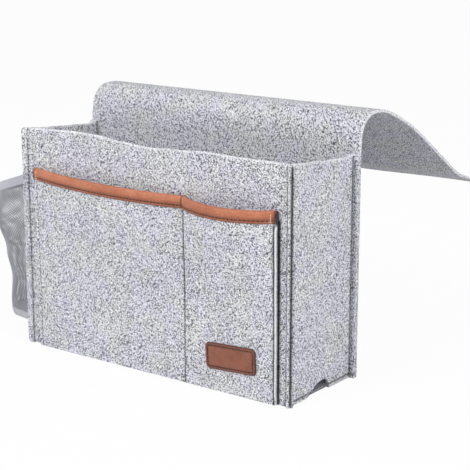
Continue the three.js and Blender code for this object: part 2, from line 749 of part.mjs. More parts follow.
// The net's two edge seams on the side panel
for (const [side, sign] of [['front', -1], ['rear', 1]]) {
  const y = sign * (netAnchor - netMargin / 2);
  const x = netFlat - netThickness;
  const low = netWallFoot(-halfWidth) + threadWidth;
  const high = netWallTop(-halfWidth) - threadWidth;
  add(`net_${side}_seam`, stitchRow([point(x, y, low), point(x, y, high)], left, rearward), greyThread);
}

export default caddy;
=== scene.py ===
import math

import bmesh
import bpy
from mathutils import Matrix, Vector


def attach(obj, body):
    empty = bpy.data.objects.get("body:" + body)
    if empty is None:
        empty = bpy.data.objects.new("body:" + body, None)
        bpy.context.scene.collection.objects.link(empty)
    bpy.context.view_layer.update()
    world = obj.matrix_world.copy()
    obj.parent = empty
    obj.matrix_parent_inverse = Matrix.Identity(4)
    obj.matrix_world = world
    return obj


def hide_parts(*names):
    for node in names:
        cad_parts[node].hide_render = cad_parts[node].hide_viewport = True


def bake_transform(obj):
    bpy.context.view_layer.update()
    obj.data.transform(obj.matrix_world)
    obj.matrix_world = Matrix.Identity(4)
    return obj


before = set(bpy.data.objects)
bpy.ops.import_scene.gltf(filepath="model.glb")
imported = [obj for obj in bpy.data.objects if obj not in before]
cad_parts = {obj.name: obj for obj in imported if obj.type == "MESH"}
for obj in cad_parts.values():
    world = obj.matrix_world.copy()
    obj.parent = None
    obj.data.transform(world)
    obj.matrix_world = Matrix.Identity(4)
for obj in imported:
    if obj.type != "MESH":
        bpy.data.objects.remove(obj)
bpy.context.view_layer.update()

# The camera stands where the photograph was taken from

def place_camera():
    lens = bpy.data.cameras.new("photo_camera")
    lens.lens = 108.44
    lens.sensor_width = 36
    lens.clip_end = 60
    camera = bpy.data.objects.new("photo_camera", lens)
    turn, tilt = math.radians(-36.596), math.radians(-14.012)
    ahead = Vector((math.sin(turn) * math.cos(tilt), math.cos(turn) * math.cos(tilt), math.sin(tilt)))
    camera.location = (0.8629, -1.0792, 0.4747)
    camera.rotation_euler = ahead.to_track_quat("-Z", "Y").to_euler()
    bpy.context.scene.collection.objects.link(camera)
    bpy.context.scene.camera = camera


place_camera()

# Sizes in millimetres, the same as in the part. Pairs are places in plan, x before y.

MM = 0.001
FELT = 3
GAP = 0.3
LEATHER = 1.2
LOW_CORNER = 4
HIGH_CORNER = 3.5
CUT_FACE = 0.8
DIAGONAL = math.sqrt(0.5)

HALF_WIDTH = 165
HALF_DEPTH = 55
RIM = 230
FRONT_RIM_WAVE = 3
SIDE_RIM_DIP = 7.7
FRONT_FOLD = (160.546, -55)
FRONT_TIP = (166.031, -60.485)
SIDE_FOLD = (165, -50.546)
SIDE_TIP = (170.485, -56.031)
BETWEEN_TIPS = (168.258, -58.258)
SEAM_FROM_TIP = 6
REAR_FLANGE = 48.7
LIP_EDGE = 170.5

HEM_X = 161.7
HEM_Y = 51.7
HEM_HEIGHT = 9
BASE_ROW = 4
BASE_ROW_INSIDE = 4.8
NOTCH_FRONT = -24
NOTCH_REAR = 13
NOTCH_PEAK = NOTCH_FRONT + 37 * 0.7
NOTCH_HEIGHT = 11.5

POCKET_LEFT = -150.5
POCKET_RIGHT = 152
POCKET_MIDDLE = (POCKET_LEFT + POCKET_RIGHT) / 2
DIVIDER = 44
POCKET_SEAMS = (POCKET_LEFT + 3, DIVIDER, POCKET_RIGHT - 3)
POCKET_HEIGHT = 184
POCKET_HEIGHT_LEFT = 188
POCKET_FLAT_HEIGHT = 0.34 * POCKET_HEIGHT
MOUTH_SAG = 1.5
MOUTH_OFF_FRONT = 1.5
WIDE_BULGE = 9
NARROW_BULGE = 15
BINDING_OUTSIDE = FELT / 2 + GAP + LEATHER
BINDING_HEIGHT = 12
BINDING_HEIGHT_INSIDE = 10
BINDING_ROW = 6.5

BADGE_HALF_LENGTH = 29.5
BADGE_HALF_HEIGHT = 13.25
BADGE_CORNER = 5
BADGE_PLATE = 0.7
BADGE_ROW_INSET = 3

NET_FLAT = -165.3
NET_MIDDLE = -202
NET_ANCHOR = 47.6
NET_RADIUS = 41
NET_REACH = 78
NET_TOP = 182
NET_TOP_DROP = 26
NET_FOOT = 17
NET_FOOT_DROP = 4
NET_LOWEST = NET_FOOT - NET_FOOT_DROP
NET_MOUTH = NET_TOP - NET_TOP_DROP
NET_LENGTH = 232
NET_THREAD = 0.9
NET_CELLS_ROUND = 56
NET_CELLS_UP = 40
NET_OFF_LINE = 0.6
TOP_BAND = 10
FOOT_BAND = 8
BAND = 1.8
BAND_OFF_LINE = 1.75
BAND_OVERLAP = 0.6
NET_FLOOR = 20.2
NET_FLOOR_CLOTH = 1.2
NET_FLOOR_DEPTH = 90

# How the rims rise and dip on their way, and the net's girth up its height, as pairs of shares

FRONT_RIM = [(0, 0), (0.08, 0.5), (0.2, 1), (0.3, 0.8), (0.38, -0.2), (0.5, -0.9), (0.6, -0.4), (0.7, 0.2),
             (0.85, 0), (1, 0.1)]
SIDE_RIM = [(0, 0), (0.3, 0.4), (0.6, 0.75), (0.85, 1), (0.95, 0.8), (1, 0.3)]
NET_GIRTH = [(0, 0.76), (0.09, 0.82), (0.3, 0.78), (0.51, 0.9), (0.75, 1.1), (0.93, 1.03), (1, 1)]


def smooth(t):
    """From 0 to 1 as t goes from 0 to 1, with soft ends."""
    t = min(max(t, 0), 1)
    return t * t * (3 - 2 * t)


def curve_through(shares, t):
    """The share that goes with t, on soft steps from each pair to the next."""
    t = min(max(t, 0), 1)
    for (start, low), (end, high) in zip(shares, shares[1:]):
        if t <= end:
            return low + (high - low) * smooth((t - start) / (end - start))
    return shares[-1][1]


def hump(distance, width):
    """1 at no distance, and soon nothing farther off than the width."""
    return math.exp(-(distance / width) ** 2)


def front_rim(x):
    return RIM + FRONT_RIM_WAVE * curve_through(FRONT_RIM, (x + HALF_WIDTH) / (2 * HALF_WIDTH))


def side_rim(y):
    return RIM - SIDE_RIM_DIP * curve_through(SIDE_RIM, (y + HALF_DEPTH) / (2 * HALF_DEPTH))


def spaced(start, end, step):
    count = max(1, round(abs(end - start) / step))
    return [start + (end - start) * i / count for i in range(count + 1)]


BESIDE_SEAM = (-4, -2.6, -1.6, -0.8, 0, 0.8, 1.6, 2.6, 4)
CLEAR_OF_SEAM = 5


def spaced_past(start, end, step, seams):
    """Places from start to end, closer together beside each seam."""
    close = [seam + beside for seam in seams for beside in BESIDE_SEAM]
    places = [p for p in spaced(start, end, step) if all(abs(p - seam) > CLEAR_OF_SEAM for seam in seams)]
    inside = {round(p, 3) for p in places + close if start < p < end}
    return [start, *sorted(inside), end]


# Cloth: a flat grid of columns and rows, each point moved to its place, and then given its thickness

def grid(columns, rows, place):
    sheet = bmesh.new()
    bmesh.ops.create_grid(sheet, x_segments=len(columns) - 1, y_segments=len(rows) - 1, size=0.5)
    for point in sheet.verts:
        column = columns[round((point.co.x + 0.5) * (len(columns) - 1))]
        row = rows[round((point.co.y + 0.5) * (len(rows) - 1))]
        point.co = place(column, row)
    sheet.normal_update()
    return sheet


SAME_PLACE = 0.05


def closer_ends(line, insets):
    """The same line with more points at those distances from each of its ends."""
    for end in (0, 1):
        line = line[::-1]
        for inset in insets:
            left = inset
            for number, (start, after) in enumerate(zip(line, line[1:])):
                step = (after - start).length
                if left < step - SAME_PLACE:
                    if left > SAME_PLACE:
                        line.insert(number + 1, start.lerp(after, left / step))
                    break
                left -= step
    return line


def mark_cloth(sheet, columns, rows):
    """Notes on each point of a grid how far along and how high it lies on the flat cloth."""
    layer = sheet.verts.layers.float_vector.new("cloth_place")
    for number, point in enumerate(sheet.verts):
        column = columns[number % len(columns)]
        row = rows[number // len(columns)]
        point[layer] = Vector((column, row, 0)) * MM


def thicken(sheet, thickness):
    bmesh.ops.solidify(sheet, geom=sheet.faces[:], thickness=thickness)
    sheet.normal_update()


SHARP_EDGE = math.radians(40)


def round_edges(solid, width, but_not=None):
    edges = [e for e in solid.edges if len(e.link_faces) == 2 and e.calc_face_angle(0) > SHARP_EDGE
             and not (but_not and but_not(e))]
    bmesh.ops.bevel(solid, geom=edges, offset=width, offset_type="OFFSET", segments=2, profile=0.5,
                    affect="EDGES", material=-1, clamp_overlap=True)
    solid.normal_update()


def press_in(solid, facing, depth_at):
    """Presses in the side of a sheet that faces that way, by a depth that depends on the place."""
    facing = Vector(facing)
    for point in solid.verts:
        if point.normal.dot(facing) > 0.5:
            point.co -= facing * depth_at(point.co)
    solid.normal_update()


def new_object(name, solid, material):
    mesh = bpy.data.meshes.new(name)
    solid.to_mesh(mesh)
    solid.free()
    mesh.materials.append(material)
    piece = bpy.data.objects.new(name, mesh)
    bpy.context.scene.collection.objects.link(piece)
    return piece


def make(name, solid, material, nodes, body="caddy_body", smooth_below=35):
    """A piece of a solid in millimetres, which rides on its body and stands in for those nodes."""
    bmesh.ops.scale(solid, vec=(MM, MM, MM), verts=solid.verts)
    piece = new_object(name, solid, material)
    mesh = piece.data
    mesh.shade_smooth()
    mesh.set_sharp_from_angle(angle=math.radians(smooth_below))
    rest = mesh.attributes.new("felt_place", "FLOAT_VECTOR", "POINT")
    flat = [0.0] * (3 * len(mesh.vertices))
    mesh.vertices.foreach_get("co", flat)
    rest.data.foreach_set("vector", flat)
    if body:
        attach(piece, body)
    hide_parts(*nodes)
    return piece


def mark(piece, layer_name, amount_at):
    """Notes on every point of a piece how strongly a mark of that name shows there, from 0 to 1."""
    layer = piece.data.attributes.new(layer_name, "FLOAT", "POINT")
    amounts = [min(1, max(0, amount_at(v.co / MM))) for v in piece.data.vertices]
    layer.data.foreach_set("value", amounts)
    return piece


# Materials. Scales of noises are grains to a metre, and depths of bumps are in metres.

MIX_SHARE, MIX_LOW, MIX_HIGH = 0, 6, 7
MIXED_COLOUR = 2


class Nodes:
    """The nodes of a material or the world, and short ways to add them."""

    def __init__(self, owner):
        owner.use_nodes = True
        self.tree = owner.node_tree

    def node(self, kind, inputs=None, **settings):
        """A new node. Each of its inputs is a constant or another node's output."""
        node = self.tree.nodes.new(kind)
        for key, value in settings.items():
            setattr(node, key, value)
        for socket, value in (inputs or {}).items():
            if isinstance(value, (int, float, tuple)):
                node.inputs[socket].default_value = value
            else:
                self.tree.links.new(value, node.inputs[socket])
        return node

    def maths(self, what, a, b):
        return self.node("ShaderNodeMath", {0: a, 1: b}, operation=what).outputs[0]


class Finish(Nodes):
    """A procedural material in the making."""

    def __init__(self, name, roughness, **constants):
        self.material = bpy.data.materials.new(name)
        super().__init__(self.material)
        self.shader = self.tree.nodes["Principled BSDF"]
        self.shader.inputs["Roughness"].default_value = roughness
        for socket, value in constants.items():
            self.shader.inputs[socket.replace("_", " ")].default_value = value

    def place(self, attribute=None):
        """Where a point lies: on the object at rest, or as an attribute notes it."""
        if attribute:
            return self.node("ShaderNodeAttribute", attribute_name=attribute).outputs["Vector"]
        return self.node("ShaderNodeTexCoord").outputs["Object"]

    def marked(self, name):
        return self.node("ShaderNodeAttribute", attribute_name=name).outputs["Fac"]

    def noise(self, place, scale, detail=0.0, rough=0.5):
        inputs = {"Vector": place, "Scale": scale, "Detail": detail, "Roughness": rough}
        return self.node("ShaderNodeTexNoise", inputs).outputs["Fac"]

    def cells(self, place, scale):
        return self.node("ShaderNodeTexVoronoi", {"Vector": place, "Scale": scale}).outputs["Distance"]

    def stretched(self, place, along, times):
        """The same place, drawn out so that a pattern on it is longer one way."""
        turn = tuple(Vector(along).to_track_quat("X", "Z").to_euler())
        inputs = {"Vector": place, "Rotation": turn, "Scale": (times, 1, 1)}
        return self.node("ShaderNodeMapping", inputs, vector_type="TEXTURE").outputs["Vector"]

    def spread(self, value, low, high, to_low=0.0, to_high=1.0):
        """A value from low to high, spread softly over another range."""
        inputs = {"Value": value, "From Min": low, "From Max": high, "To Min": to_low, "To Max": to_high}
        return self.node("ShaderNodeMapRange", inputs, interpolation_type="SMOOTHSTEP").outputs["Result"]

    def mix(self, share, low, high):
        """A colour between two."""
        inputs = {MIX_SHARE: share, MIX_LOW: low, MIX_HIGH: high}
        node = self.node("ShaderNodeMix", inputs, data_type="RGBA", blend_type="MIX")
        return node.outputs[MIXED_COLOUR]

    def bump(self, height, distance, strength):
        inputs = {"Height": height, "Distance": distance, "Strength": strength}
        return self.node("ShaderNodeBump", inputs).outputs["Normal"]

    def finish(self, colour, normal, roughness=None):
        self.tree.links.new(colour, self.shader.inputs["Base Color"])
        self.tree.links.new(normal, self.shader.inputs["Normal"])
        if roughness:
            self.tree.links.new(roughness, self.shader.inputs["Roughness"])
        return self.material


def shade(red, green, blue):
    """A colour as it is read off a picture, 0 to 255."""
    def linear(c):
        c = c / 255
        return c / 12.92 if c <= 0.04045 else ((c + 0.055) / 1.055) ** 2.4
    return (linear(red), linear(green), linear(blue), 1.0)


def heather_felt():
    """Pale wool with dark fibres both ways, painted shade in its seams, creases and gaps, and a painted
    highlight on cut edges.
    """
    felt = Finish("heather_grey_felt", 0.95, Specular_IOR_Level=0.15, Sheen_Weight=0.12, Sheen_Roughness=0.6)
    place = felt.place("felt_place")
    down_fibres = felt.stretched(place, (-1, 1, 1), 2.5)
    up_fibres = felt.stretched(place, (1, -1, 1), 2.5)
    grain = felt.noise(place, 1500)
    long_flecks = felt.noise(down_fibres, 900)
    cross_flecks = felt.noise(up_fibres, 1000)
    uneven = felt.maths("SUBTRACT", felt.noise(place, 90, detail=2.0, rough=0.6), 0.5)
    clouds = felt.maths("MULTIPLY", uneven, 0.1)
    patches = felt.spread(felt.noise(place, 32, detail=2.0, rough=0.6), 0.42, 0.58)
    light = felt.mix(patches, shade(232, 232, 237), shade(233, 234, 232))
    dim = felt.mix(patches, shade(158, 157, 180), shade(160, 161, 173))
    wool = felt.mix(felt.spread(grain, 0.36, 0.56), dim, light)
    dark_long = felt.spread(felt.maths("ADD", long_flecks, clouds), 0.61, 0.64)
    dark_cross = felt.spread(felt.maths("ADD", cross_flecks, clouds), 0.63, 0.66)
    flecked = felt.mix(felt.maths("MULTIPLY", dark_long, 0.9), wool, shade(36, 35, 50))
    heather = felt.mix(felt.maths("MULTIPLY", dark_cross, 0.85), flecked, shade(48, 47, 62))
    # Painted shade: a near-black mix, laid on where a piece marks shade in its seams, creases, gaps and under
    # its edges.
    painted_shade = felt.mix(0.92, heather, shade(22, 21, 27))
    shaded = felt.mix(felt.marked("painted_shade"), heather, painted_shade)
    # Painted highlight: the cut edges drawn near white, as if light catches them.
    colour = felt.mix(felt.marked("cut_edge_highlight"), shaded, shade(247, 247, 252))
    height = felt.maths("SUBTRACT", grain, felt.maths("MULTIPLY", dark_long, 0.5))
    return felt.finish(colour, felt.bump(height, 0.0003, 0.25))


def leather(name, light, dark, edge, grain_scale):
    hide = Finish(name, 0.5, Specular_IOR_Level=0.45)
    place = hide.place()
    # Towards the edge colour where marked: the leather's own dark edges, and painted shade in grooves, in
    # creases and over the lower part of the binding.
    burnish_and_shade_amount = hide.marked("burnish_and_shade")
    pebble = hide.cells(place, grain_scale)
    fine = hide.noise(place, grain_scale * 1.6, detail=2.0)
    clouds = hide.noise(place, 60, detail=3.0, rough=0.6)
    base = hide.mix(hide.spread(clouds, 0.35, 0.65), dark, light)
    creased = hide.mix(hide.spread(pebble, 0.35, 0.7), base, hide.mix(0.35, base, edge))
    colour = hide.mix(burnish_and_shade_amount, creased, edge)
    height = hide.maths("ADD", hide.maths("MULTIPLY", pebble, -0.7), hide.maths("MULTIPLY", fine, 0.3))
    roughness = hide.spread(fine, 0.3, 0.7, 0.42, 0.58)
    return hide.finish(colour, hide.bump(height, 0.00025, 0.5), roughness)


def thread(name, light, dark):
    yarn = Finish(name, 0.7, Specular_IOR_Level=0.3, Sheen_Weight=0.1)
    place = yarn.place()
    twist = yarn.noise(yarn.stretched(place, (1, 1, 1), 3), 1800, detail=1.0)
    colour = yarn.mix(yarn.spread(twist, 0.35, 0.65), dark, light)
    return yarn.finish(colour, yarn.bump(twist, 0.0002, 0.6))


def net_yarn():
    yarn = Finish("grey_net_yarn", 0.75, Specular_IOR_Level=0.3, Sheen_Weight=0.1)
    place = yarn.place()
    filaments = yarn.noise(place, 2200, detail=1.0)
    patches = yarn.noise(place, 45, detail=2.0)
    base = yarn.mix(yarn.spread(patches, 0.35, 0.65), shade(156, 157, 164), shade(182, 183, 190))
    colour = yarn.mix(yarn.spread(filaments, 0.3, 0.7), yarn.mix(0.35, base, shade(90, 92, 100)), base)
    return yarn.finish(colour, yarn.bump(filaments, 0.0002, 0.5))


def woven_band():
    band = Finish("grey_woven_band", 0.85, Specular_IOR_Level=0.2, Sheen_Weight=0.15)
    place = band.place("cloth_place")
    inputs = {"Vector": place, "Scale": 260, "Distortion": 0.6}
    ribs = [band.node("ShaderNodeTexWave", inputs, wave_type="BANDS", bands_direction=way) for way in "XY"]
    weave = band.maths("MULTIPLY", *(wave.outputs["Fac"] for wave in ribs))
    fuzz = band.noise(place, 900, detail=1.0)
    base = band.mix(band.spread(weave, 0.05, 0.7), shade(168, 168, 178), shade(222, 222, 230))
    colour = band.mix(band.spread(fuzz, 0.3, 0.7), band.mix(0.25, base, shade(100, 100, 110)), base)
    return band.finish(colour, band.bump(weave, 0.0003, 0.6))


FELT_GREY = heather_felt()
TAN_LEATHER = leather("tan_leather", shade(194, 121, 88), shade(176, 104, 73), shade(84, 40, 25), 1100)
BROWN_LEATHER = leather("brown_leather", shade(144, 88, 67), shade(127, 74, 54), shade(70, 34, 25), 1200)
# Grey thread drawn much darker than the felt, as painted shade for the shadowed holes of its stitches.
SHADED_GREY_THREAD = thread("grey_thread", shade(96, 95, 106), shade(46, 45, 54))
BROWN_THREAD = thread("dark_brown_thread", shade(66, 32, 22), shade(34, 15, 10))
CREAM_THREAD = thread("cream_thread", shade(240, 214, 180), shade(205, 168, 132))
NET_YARN = net_yarn()
BAND_CLOTH = woven_band()


# Felt panels of the box

def rounded_line(corners, radius, step):
    """A line through the corners, each inner one rounded, as points a step apart."""
    corners = [Vector(c) for c in corners]
    line = [corners[0]]
    for before, corner, after in zip(corners, corners[1:], corners[2:]):
        back = (before - corner).normalized()
        on = (after - corner).normalized()
        half_turn = (math.pi - back.angle(on)) / 2
        reach = radius * math.tan(half_turn)
        start, end = corner + back * reach, corner + on * reach
        last, share = line[-1], step / max((start - line[-1]).length, step)
        line += [last.lerp(start, t) for t in spaced(0, 1, share)[1:]]
        for t in spaced(0, 1, 0.2)[1:]:
            line.append(start.lerp(corner, t).lerp(corner.lerp(end, t), t))
    last, end = line[-1], corners[-1]
    return line + [last.lerp(end, t) for t in spaced(0, 1, step / (end - last).length)[1:]]


def rounded_corner(distance, radius):
    """How much a rounded corner takes off at that distance from a cut edge."""
    inset = radius - min(max(distance, 0), radius)
    return radius - math.sqrt(radius ** 2 - inset ** 2)


def between_flanges(p):
    """How strongly a point lies in the painted shade of the gap between the cut edges of a corner's two
    layers.
    """
    x, y = BETWEEN_TIPS
    off_middle = abs(abs(p.x) - x + p.y - y) * DIAGONAL
    from_tips = (x - abs(p.x) + p.y - y) * DIAGONAL
    return smooth((1.1 - off_middle) / 0.4) * smooth((1.3 - from_tips) / 0.5)


def ripple(x, z):
    """Felt is never quite flat: a slow wave of a fraction of a millimetre that dies out at the seams."""
    calm = smooth((HALF_WIDTH - abs(x)) / 40) * smooth(z / 40)
    return calm * (0.35 * math.sin(x / 23 + z / 61) + 0.25 * math.sin(z / 17 - x / 47))


ROW_SHARES = [0, 0.008, 0.017, 0.026, *spaced(0.045, 0.96, 0.022), 0.975, 0.99, 1]


def front_felt():
    (tip_x, tip_y), (fold_x, fold_y) = FRONT_TIP, FRONT_FOLD
    plan = rounded_line([(-tip_x, tip_y), (-fold_x, fold_y), FRONT_FOLD, FRONT_TIP], radius=1.2, step=4)
    plan = closer_ends(plan, (1.2, 2.6, 4, 5.2, 6, 9.5, 10.5, 11.5, 12.6, 14, 15.2, 16.4, 17.6, 19))

    def place(at, share):
        on_flange = abs(at.x) > fold_x
        from_edge = (tip_x - abs(at.x)) / DIAGONAL
        low = rounded_corner(from_edge, LOW_CORNER) * on_flange
        high = front_rim(at.x) - rounded_corner(from_edge, HIGH_CORNER) * on_flange
        wave = ripple(at.x, share * RIM) * (abs(at.x) < fold_x)
        return (at.x, at.y - wave, low + (high - low) * share)

    sheet = grid(plan, ROW_SHARES, place)
    thicken(sheet, FELT)
    round_edges(sheet, width=0.7)

    def past_seam(p):
        """How far a point lies from the corner's row of stitches, towards the fold."""
        return (tip_x - abs(p.x) + p.y - tip_y) * DIAGONAL - SEAM_FROM_TIP

    for sign in (-1, 1):
        facing = (-sign * DIAGONAL, -DIAGONAL, 0)
        press_in(sheet, facing, lambda p: 0.6 * hump(past_seam(p), 0.8) * (p.x * sign > fold_x))
    piece = make("front_felt", sheet, FELT_GREY, ["front_panel"])
    # Painted highlight along the top cut edge, between the folds.
    mark(piece, "cut_edge_highlight", lambda at: 0.35 * (at.z > front_rim(at.x) - CUT_FACE and abs(at.x) < fold_x))

    # Painted shade: in the crease of each corner's fold and in the gap between its flanges, fainter on the
    # left, and a painted shadow on the front beside the pocket's right edge.
    def painted_shade_at(at):
        strength = 1 if at.x > 0 else 0.35
        fold = hump(past_seam(at) - 0.4, 0.9) * (abs(at.x) > fold_x - 0.5)
        below_mouth = at.z < POCKET_HEIGHT - 8
        in_corner = at.x > POCKET_RIGHT - 3 and -HALF_DEPTH - FELT < at.y < 1 - HALF_DEPTH
        beside_pocket = smooth((POCKET_RIGHT + 3 - at.x) / 1.8) * (below_mouth and in_corner)
        return (strength * (fold + between_flanges(at)) + beside_pocket) * (at.z < front_rim(at.x) - CUT_FACE)

    return mark(piece, "painted_shade", painted_shade_at)


def notch_height(y):
    """The lower edge of the right side over the cable notch."""
    if y <= NOTCH_FRONT or y >= NOTCH_REAR:
        return 0
    if y > NOTCH_PEAK:
        t = 1 - math.sqrt((NOTCH_REAR - y) / (NOTCH_REAR - NOTCH_PEAK))
        return NOTCH_HEIGHT * (1 - t * t)
    course = (NOTCH_FRONT, -16.8, NOTCH_PEAK - NOTCH_HEIGHT, NOTCH_PEAK)
    best = min((abs(bezier(t, *course) - y), t) for t in spaced(0, 1, 0.01))[1]
    return bezier(best, 0, NOTCH_HEIGHT / 2, NOTCH_HEIGHT, NOTCH_HEIGHT)


def bezier(t, a, b, c, d):
    return (1 - t) ** 3 * a + 3 * (1 - t) ** 2 * t * b + 3 * (1 - t) * t * t * c + t ** 3 * d


NOTCH_POINTS = (NOTCH_FRONT, -23, -21.5, -19.5, -17, -14, -11, -8, -5, -2, 1, 4, 6.5, 8.5, 10, 11.2, 12, 12.6,
                NOTCH_REAR)


def side_felt(name, sign, node):
    """A side with its two flanges, on the right (sign 1) or the left (sign -1)."""
    rear = [(HALF_WIDTH, REAR_FLANGE), (LIP_EDGE, REAR_FLANGE)]
    plan = rounded_line([SIDE_TIP, SIDE_FOLD, *rear], radius=1.6, step=3)
    plan = closer_ends(plan, (0.9, 1.9, 3, 5.2, 6.2, 7.6, 8.6, 9.6, 10.8))
    if sign > 0:
        ahead = [p for p in plan if p.y <= NOTCH_FRONT - 1]
        behind = [p for p in plan if p.y >= NOTCH_REAR + 1]
        plan = [*ahead, *[Vector((HALF_WIDTH, y)) for y in NOTCH_POINTS], *behind]
    else:
        plan = [Vector((-p.x, p.y)) for p in reversed(plan)]

    def place(at, share):
        low = notch_height(at.y) if sign > 0 else 0
        high = side_rim(at.y)
        if abs(at.x) > HALF_WIDTH and at.y < 0:
            from_edge = (SIDE_TIP[0] - abs(at.x)) / DIAGONAL
            low = rounded_corner(from_edge, LOW_CORNER)
            high -= rounded_corner(from_edge, HIGH_CORNER)
        calm = smooth((HALF_DEPTH - 6 - abs(at.y)) / 25) * smooth((share * RIM - 20) / 50)
        wave = calm * 0.4 * math.sin(at.y / 14 + share * 4)
        return (at.x - sign * wave, at.y, low + (high - low) * share)

    sheet = grid(plan, ROW_SHARES, place)
    thicken(sheet, FELT)
    round_edges(sheet, width=0.7)

    def by_base_row(p, width):
        return hump(p.z - BASE_ROW, width) * (abs(p.x) > HALF_WIDTH - 1)

    press_in(sheet, (sign, 0, 0), lambda p: 0.7 * by_base_row(p, 1.2) * (p.z > 1.2))
    piece = make(name, sheet, FELT_GREY, [node])

    # Painted highlight along the top cut edge.
    def cut_edge_highlight(at):
        return 0.4 * (at.z > side_rim(at.y) - CUT_FACE and abs(at.x) < HALF_WIDTH + 1.6)

    # Painted shade: in the crease of the front fold, in the gap at the rear lip, in the dimple of the base
    # row of stitches and between the corner's flanges.
    def painted_shade_at(at):
        fold = smooth((-47.2 - at.y) / 1.4) * (abs(at.x) < HALF_WIDTH + 1.5 and at.y > -52.5)
        lip = 1.3 * hump(math.hypot(abs(at.x) - HALF_WIDTH - 0.8, at.y - REAR_FLANGE + 0.9), 0.85)
        marks = fold + lip + 0.75 * by_base_row(at, 1.1) + between_flanges(at)
        return marks * (at.z < side_rim(at.y) - CUT_FACE)

    mark(piece, "cut_edge_highlight", cut_edge_highlight)
    return mark(piece, "painted_shade", painted_shade_at)


# Flap: the line of its middle layer, which the back panel carries on into

def arc(radius, degrees):
    """The length of a run round an arc, and how far it turns."""
    return (radius * math.radians(abs(degrees)), math.radians(degrees))


FLAP_START = Vector((53.5, RIM + 1))
FLAP_HEADING = 82
FLAP_RUNS = [(9, 0), arc(24, -77), arc(75, -25), arc(300, -13.5), (85.5, 0), arc(84, 16.5), (50, 0)]
FLAP_LENGTH = sum(length for length, turn in FLAP_RUNS)
FLAP_CUTS = (9, 150)
BACK_LENGTH = RIM + 1
ROOT_BEND = (-12, 8.5)
CROWN_BEND = (12, 74)
TOE_BEND = (228, 256.5)


def flap_at(distance, offset=0):
    """The place on the back and the flap at a length along them, that far off their middle layer."""
    at, heading = FLAP_START.copy(), math.radians(FLAP_HEADING)
    if distance < 0:
        at, heading = Vector((FLAP_START.x, FLAP_START.y + distance)), math.radians(90)
    left = distance
    for length, turn in FLAP_RUNS:
        part = min(max(left, 0), length)
        turned = turn * part / length
        chord = 2 * math.sin(turned / 2) / turned if abs(turned) > 1e-9 else 1
        along = heading + turned / 2
        at += Vector((math.cos(along), math.sin(along))) * part * chord
        heading += turned
        left -= length
    return at + Vector((-math.sin(heading), math.cos(heading))) * offset


def flap_point(distance):
    at = flap_at(distance)
    return (0, at.x * MM, at.y * MM)


def flap_sheet(name, start, end, step, open_ends, nodes, bodies, bend):
    """A stretch of the felt up the back and along the flap. Its open ends meet the next stretch."""
    across = spaced(-LIP_EDGE, LIP_EDGE, 5)
    across = [across[0], across[0] + 2, *across[1:-1], across[-1] - 2, across[-1]]
    along = spaced(start, end, step)

    def place(x, distance):
        wave = smooth((distance - 60) / 60) * 0.8 * math.sin(x / 38 + distance / 70)
        at = flap_at(distance, FELT / 2 + wave)
        return (x, at.x, at.y)

    sheet = grid(across, along, place)
    thicken(sheet, FELT)
    borders = [flap_at(s) for s in open_ends]

    def on_border(edge):
        first, second = (v.co for v in edge.verts)
        middle = (first + second) / 2
        near = any((Vector((middle.y, middle.z)) - border).length < FELT for border in borders)
        return near and (abs(middle.x) < LIP_EDGE - 0.01 or abs(first.y - second.y) > 1.2)

    round_edges(sheet, width=0.6, but_not=on_border)
    piece = make(name, sheet, FELT_GREY, nodes, body=None)
    turn_from, turn_to = bend
    flap_point(turn_from)
    flap_point(turn_to)
    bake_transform(piece)

    # Painted highlight on the side cut edges where they stand clear of the box.
    def cut_edge_highlight(at):
        past_box = at.z > RIM - 6 or at.y > HALF_DEPTH + 7
        return 0.3 * (abs(at.x) > LIP_EDGE - 0.7 and past_box)

    return mark(piece, "cut_edge_highlight", cut_edge_highlight)


def base_felt():
    flat_x, flat_y = HEM_X - FELT - GAP, HEM_Y - FELT - GAP
    places_x = [-HEM_X, *spaced(-flat_x, flat_x, 8), HEM_X]
    places_y = [-HEM_Y, *sorted({*spaced(-flat_y, flat_y, 6), NOTCH_FRONT, NOTCH_REAR}), HEM_Y]
    sheet = grid(places_x, places_y, lambda x, y: (x, y, 0))
    bmesh.ops.reverse_faces(sheet, faces=sheet.faces[:])

    def hem_edge(edge):
        middle = (edge.verts[0].co + edge.verts[1].co) / 2
        if abs(abs(middle.y) - HEM_Y) < 0.01:
            return abs(middle.x) < flat_x
        in_notch = middle.x > 0 and NOTCH_FRONT < middle.y < NOTCH_REAR
        return abs(abs(middle.x) - HEM_X) < 0.01 and abs(middle.y) < flat_y and not in_notch

    turned_up = bmesh.ops.extrude_edge_only(sheet, edges=[e for e in sheet.edges if hem_edge(e)])
    raised = [v for v in turned_up["geom"] if isinstance(v, bmesh.types.BMVert)]
    bmesh.ops.translate(sheet, verts=raised, vec=(0, 0, HEM_HEIGHT))
    sheet.normal_update()
    thicken(sheet, FELT)
    round_edges(sheet, width=0.7)
    piece = make("base_felt", sheet, FELT_GREY, ["base_panel"])

    # Painted shade on the base's floor and turned-up hem behind the cable notch, where it opens into the box.
    def behind_notch(at):
        beside = at.z > 0 and NOTCH_FRONT - 6 < at.y < NOTCH_REAR + 5
        return 0.7 * smooth((at.x - HALF_WIDTH + 30) / 15) * beside

    return mark(piece, "painted_shade", behind_notch)


# Front pockets

def pocket_height(x):
    if x > DIVIDER:
        return POCKET_HEIGHT
    t = (x - POCKET_LEFT) / (DIVIDER - POCKET_LEFT)
    return POCKET_HEIGHT_LEFT + (POCKET_HEIGHT - POCKET_HEIGHT_LEFT) * t


def openness(x):
    """How far a pocket's mouth stands open there: 0 at its seams, and 1 halfway between them."""
    start, end = POCKET_SEAMS[:2] if x < DIVIDER else POCKET_SEAMS[1:]
    t = min(max((x - start) / (end - start), 0), 1)
    return math.sin(math.pi * t) ** 0.75 if 0 < t < 1 else 0


def mouth(x):
    return pocket_height(x) - MOUTH_SAG * openness(x)


